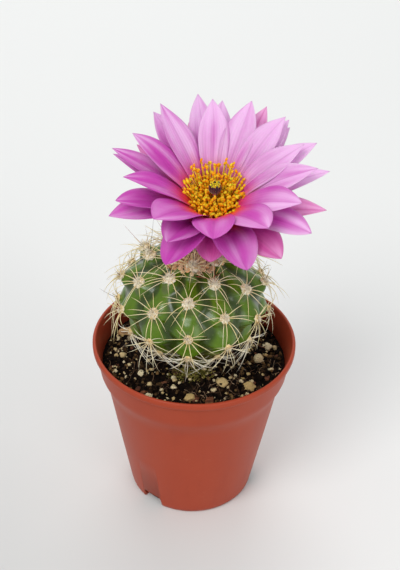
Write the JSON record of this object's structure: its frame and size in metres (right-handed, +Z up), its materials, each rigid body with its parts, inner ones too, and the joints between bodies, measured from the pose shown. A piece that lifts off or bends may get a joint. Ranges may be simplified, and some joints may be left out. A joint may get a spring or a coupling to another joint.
{
  "type": "potted cactus",
  "caption": "Round ribbed cactus with a wide open flower on its crown, growing in soil in a tapered round nursery pot with drain notches.",
  "frame": {"origin": "centre of the pot's flat underside", "axes": "+Z up along the pot's axis, -Y is the front, +X to the right"},
  "size_m": [0.06, 0.055, 0.1115],
  "materials": {
    "pot": "satin terracotta-coloured plastic",
    "cactus_skin": "waxy green plant skin with grey bloom",
    "wool": "cream to tan felted plant wool",
    "flower_tube": "scaly green-brown tube with wool and bristles",
    "petal_inner": "thin silky petal, pale lilac pink",
    "petal_middle": "thin silky petal, lilac pink",
    "petal_lower": "thin silky petal, magenta violet",
    "petal_outer": "thin petal, reddish magenta",
    "stamens": "orange filaments with yellow pollen",
    "pistil": "dark maroon, velvety",
    "pumice": "rough porous cream stone",
    "bark": "rough brown bark",
    "husk": "dry straw brown",
    "moss": "yellow-green fibrous moss",
    "soil": "loose dark potting mix"
  },
  "bodies": {
    "root": {"pot": "pot", "cactus_stem": "cactus_skin", "crown_wool": "wool", "flower_tube": "flower_tube", "petal_inner_01": "petal_inner", "petal_inner_02": "petal_inner", "petal_inner_03": "petal_inner", "petal_inner_04": "petal_inner", "petal_inner_05": "petal_inner", "petal_inner_06": "petal_inner", "petal_inner_07": "petal_inner", "petal_inner_08": "petal_inner", "petal_inner_09": "petal_inner", "petal_inner_10": "petal_inner", "petal_inner_11": "petal_inner", "petal_inner_12": "petal_inner", "petal_middle_01": "petal_middle", "petal_middle_02": "petal_middle", "petal_middle_03": "petal_middle", "petal_middle_04": "petal_middle", "petal_middle_05": "petal_middle", "petal_middle_06": "petal_middle", "petal_middle_07": "petal_middle", "petal_middle_08": "petal_middle", "petal_lower_01": "petal_lower", "petal_lower_02": "petal_lower", "petal_lower_03": "petal_lower", "petal_lower_04": "petal_lower", "petal_lower_05": "petal_lower", "petal_lower_06": "petal_lower", "petal_lower_07": "petal_lower", "petal_lower_08": "petal_lower", "petal_lower_09": "petal_lower", "petal_outer_01": "petal_outer", "petal_outer_02": "petal_outer", "petal_outer_03": "petal_outer", "petal_outer_04": "petal_outer", "petal_outer_05": "petal_outer", "petal_outer_06": "petal_outer", "petal_outer_07": "petal_outer", "stamens": "stamens", "pistil": "pistil", "pumice_01": "pumice", "pumice_02": "pumice", "pumice_03": "pumice", "pumice_04": "pumice", "pumice_05": "pumice", "pumice_06": "pumice", "pumice_07": "pumice", "pumice_08": "pumice", "pumice_09": "pumice", "pumice_10": "pumice", "pumice_11": "pumice", "pumice_12": "pumice", "bark_chip_01": "bark", "bark_chip_02": "bark", "dry_husk": "husk", "moss_cushion": "moss", "soil": "soil"}
  },
  "joints": []
}
